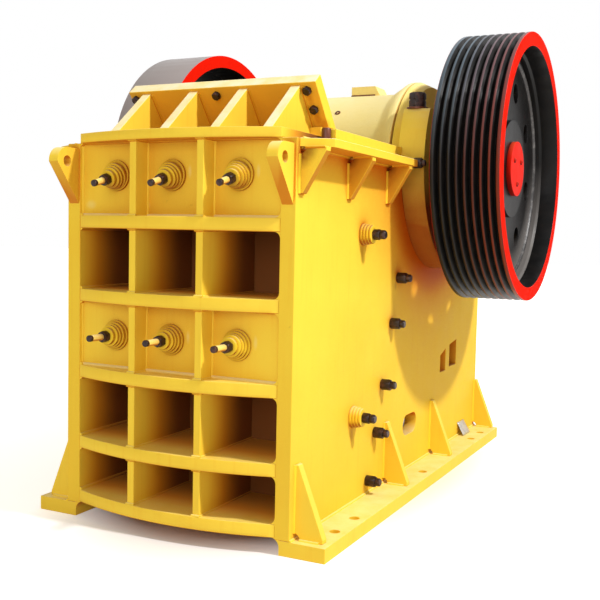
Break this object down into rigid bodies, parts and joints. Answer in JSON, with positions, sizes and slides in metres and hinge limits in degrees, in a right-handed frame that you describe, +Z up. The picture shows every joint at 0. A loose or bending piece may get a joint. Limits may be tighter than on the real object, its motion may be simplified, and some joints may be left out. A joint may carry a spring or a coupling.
{
  "type": "jaw crusher",
  "caption": "Single toggle jaw crusher with a ribbed welded frame, a leaning feed guard, a swing jaw on an eccentric shaft, a grooved drive wheel and a flywheel.",
  "frame": {"origin": "middle of the foundation bolts, in the plane that the base stands on", "axes": "+X along the eccentric shaft towards the grooved drive wheel, -Y towards the ribbed front wall, +Z up"},
  "size_m": [2.932, 3.931, 3.1229],
  "materials": {
    "yellow_paint": "semi-gloss",
    "pale_yellow_casting": "semi-gloss",
    "dark_paint": "semi-gloss",
    "red_paint": "semi-gloss",
    "machined_steel": "satin",
    "manganese_steel": "satin",
    "dark_steel": "satin"
  },
  "bodies": {
    "frame": {"base_flange_left": "yellow_paint", "base_flange_right": "yellow_paint", "base_gussets_left": "yellow_paint", "base_gussets_right": "yellow_paint", "bearing_cap_left": "pale_yellow_casting", "bearing_cap_right": "pale_yellow_casting", "bearing_housing_left": "pale_yellow_casting", "bearing_housing_right": "pale_yellow_casting", "bolt_panels": "yellow_paint", "cheek_plate_left": "manganese_steel", "cheek_plate_right": "manganese_steel", "feed_guard_gussets": "yellow_paint", "feed_guard_plate": "yellow_paint", "fixed_jaw_plate": "manganese_steel", "front_dividers": "yellow_paint", "front_rib_1": "yellow_paint", "front_rib_2": "yellow_paint", "front_rib_3": "yellow_paint", "front_rib_4": "yellow_paint", "front_rib_5": "yellow_paint", "front_spring_bolts_lower": "yellow_paint", "front_spring_bolts_upper": "yellow_paint", "front_top_flange": "yellow_paint", "front_wall_plate": "yellow_paint", "lifting_lug_left": "yellow_paint", "lifting_lug_right": "yellow_paint", "rear_wall": "yellow_paint", "shelf_gussets_left": "yellow_paint", "shelf_gussets_right": "yellow_paint", "side_plate_left": "yellow_paint", "side_plate_right": "yellow_paint", "side_shelf_left": "yellow_paint", "side_shelf_right": "yellow_paint", "side_spring_bolts": "yellow_paint", "tension_springs": "dark_steel", "toggle_adjusters": "dark_steel", "toggle_beam": "yellow_paint", "toggle_plate": "dark_steel"},
    "rotor": {"drive_sheave": "dark_paint", "eccentric_shaft": "machined_steel", "flywheel": "dark_paint", "shaft_caps": "red_paint"},
    "swing_jaw_group": {"swing_jaw": "pale_yellow_casting", "swing_jaw_plate": "manganese_steel", "tension_rods": "dark_steel"}
  },
  "joints": [
    {"name": "shaft_spin", "type": "hinge", "parent": "frame", "child": "rotor", "pos_m": [0, 0.4835, 2.2], "axis": [1, 0, 0], "continuous": true},
    {"name": "jaw_on_eccentric", "type": "hinge", "parent": "rotor", "child": "swing_jaw_group", "pos_m": [0, 0.4835, 2.185], "axis": [1, 0, 0], "continuous": true}
  ],
  "couplings": [
    {"joint": "jaw_on_eccentric", "follows": "shaft_spin", "ratio": -1}
  ]
}
